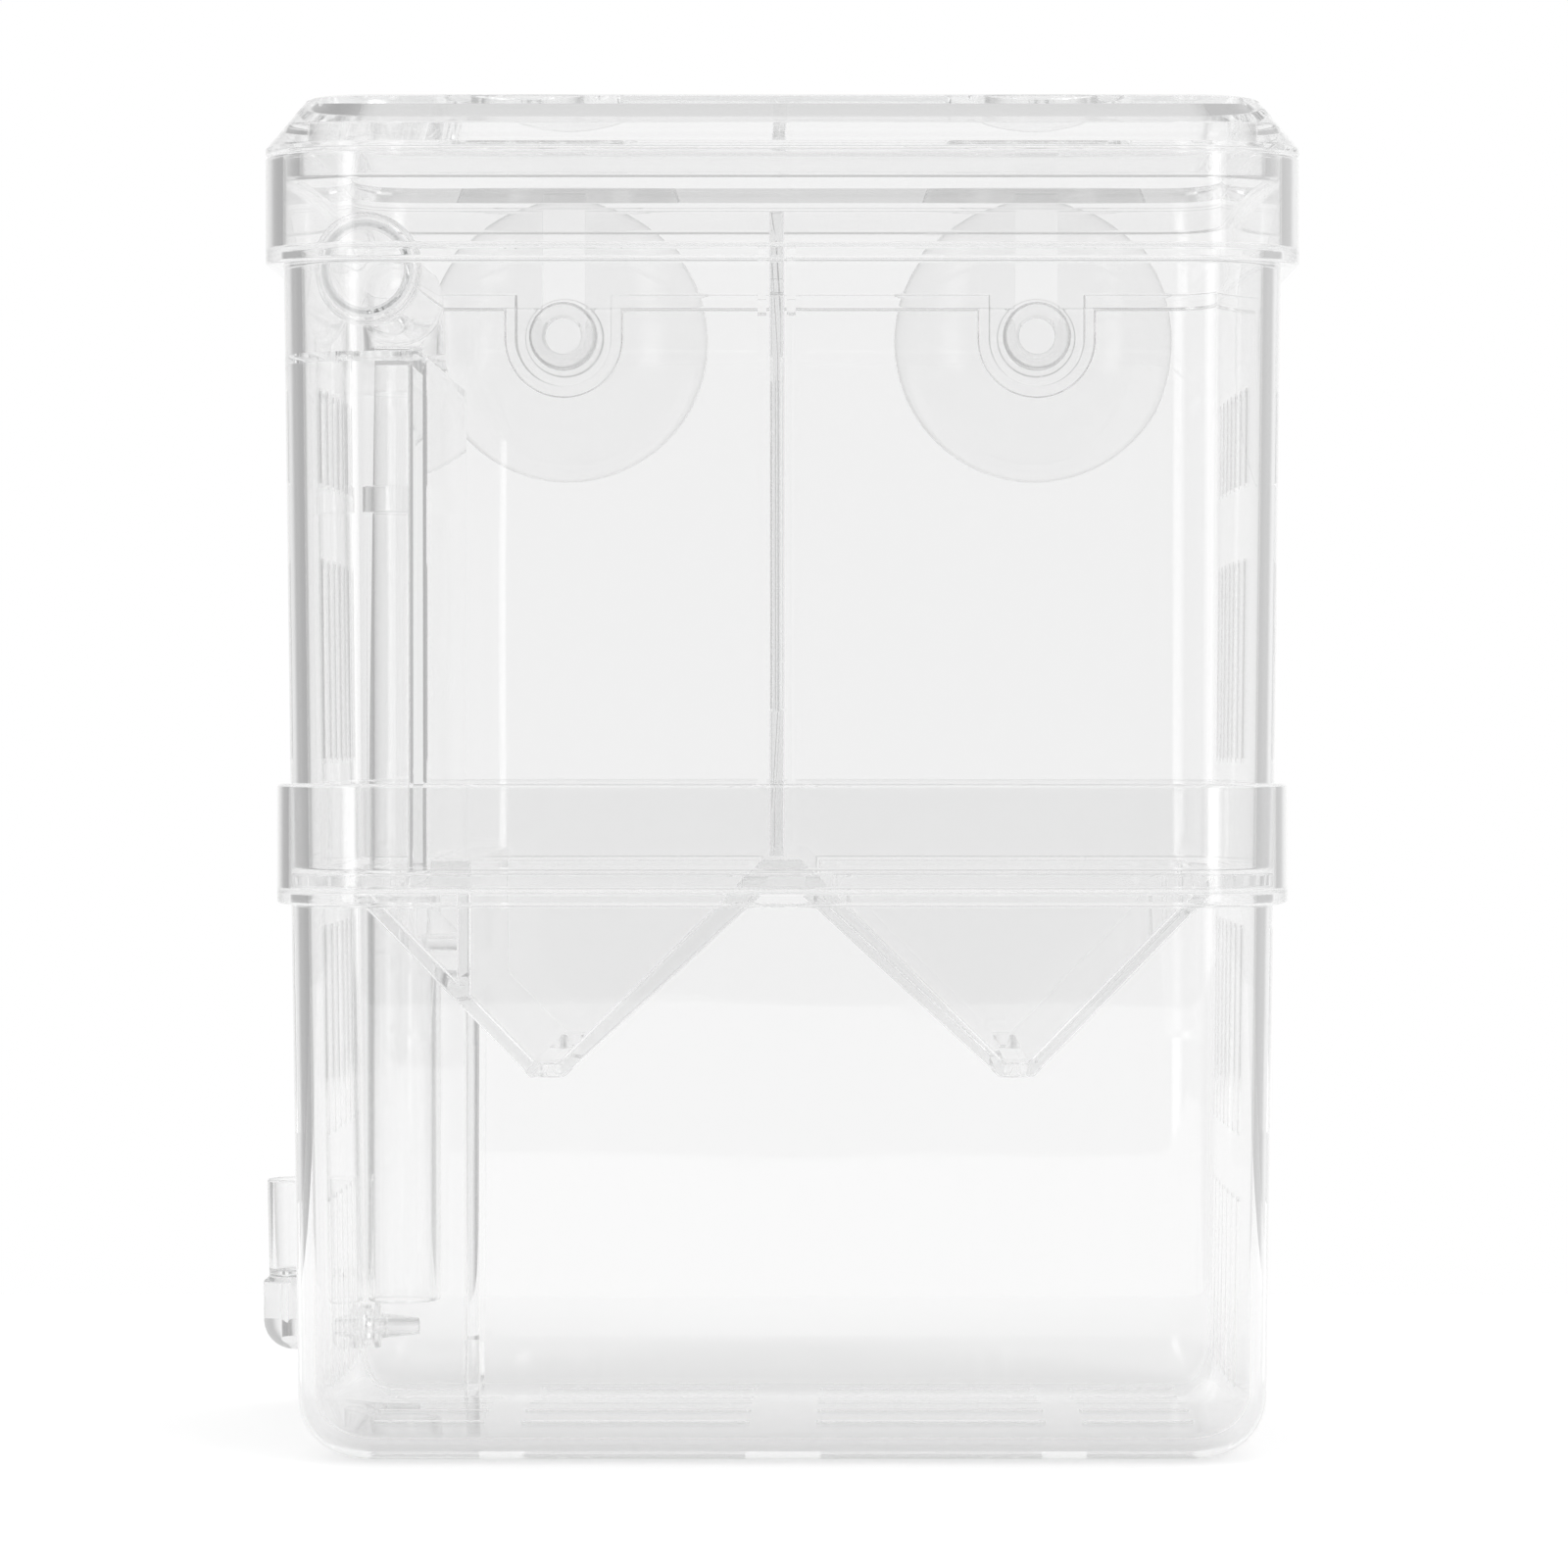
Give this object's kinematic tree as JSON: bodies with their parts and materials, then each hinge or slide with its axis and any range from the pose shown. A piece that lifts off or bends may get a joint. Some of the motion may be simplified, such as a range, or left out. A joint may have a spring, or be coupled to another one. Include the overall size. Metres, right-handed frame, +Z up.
{
  "type": "fish breeding box",
  "caption": "Clear two-storey breeding box: slotted boxes, V hopper tray, divider, lid with feed holes, air-lift riser with spout, and suction cups on the back",
  "frame": {"origin": "centre of the underside of the lower box's floor", "axes": "+Z up to the lid, +X to the right of the front, +Y to the back where the suction cups are; the front looks along -Y"},
  "size_m": [0.1129, 0.0891, 0.1408],
  "materials": {
    "clear_plastic": "polished, water clear",
    "clear_tube": "polished, water clear",
    "clear_fitting": "gloss, slightly frosted",
    "soft_pvc": "smooth, clear, soft"
  },
  "bodies": {
    "lower": {"lower_box": "clear_plastic"},
    "tray": {"hopper_tray": "clear_plastic"},
    "upper": {"upper_box": "clear_plastic", "riser_tube": "clear_tube", "riser_coupling": "clear_tube"},
    "lid": {"lid": "clear_plastic"},
    "divider": {"divider": "clear_plastic"},
    "spout": {"outlet_elbow": "clear_tube", "spout_ring": "clear_tube"},
    "air_inlet": {"air_elbow": "clear_fitting", "air_jet": "clear_fitting"},
    "cup_left": {"suction_cup_left": "soft_pvc"},
    "cup_right": {"suction_cup_right": "soft_pvc"}
  },
  "joints": [
    {"name": "tray_lift", "type": "slide", "parent": "lower", "child": "tray", "axis": [0, 0, 1], "range_m": [0, 0.035]},
    {"name": "upper_lift", "type": "slide", "parent": "tray", "child": "upper", "axis": [0, 0, 1], "range_m": [0, 0.05]},
    {"name": "lid_lift", "type": "slide", "parent": "upper", "child": "lid", "axis": [0, 0, 1], "range_m": [0, 0.05]},
    {"name": "divider_lift", "type": "slide", "parent": "upper", "child": "divider", "axis": [0, 0, 1], "range_m": [0, 0.0055]},
    {"name": "spout_swivel", "type": "hinge", "parent": "upper", "child": "spout", "pos_m": [-0.04375, 0.0282, 0.1238], "axis": [0, 0, 1], "range_deg": [0, 35]},
    {"name": "air_elbow_swivel", "type": "hinge", "parent": "lower", "child": "air_inlet", "pos_m": [-0.055, 0.0282, 0.0085], "axis": [1, 0, 0], "range_deg": [-90, 90]},
    {"name": "cup_left_slide", "type": "slide", "parent": "upper", "child": "cup_left", "axis": [0, 0, 1], "range_m": [0, 0.006]},
    {"name": "cup_right_slide", "type": "slide", "parent": "upper", "child": "cup_right", "axis": [0, 0, 1], "range_m": [0, 0.006]}
  ]
}
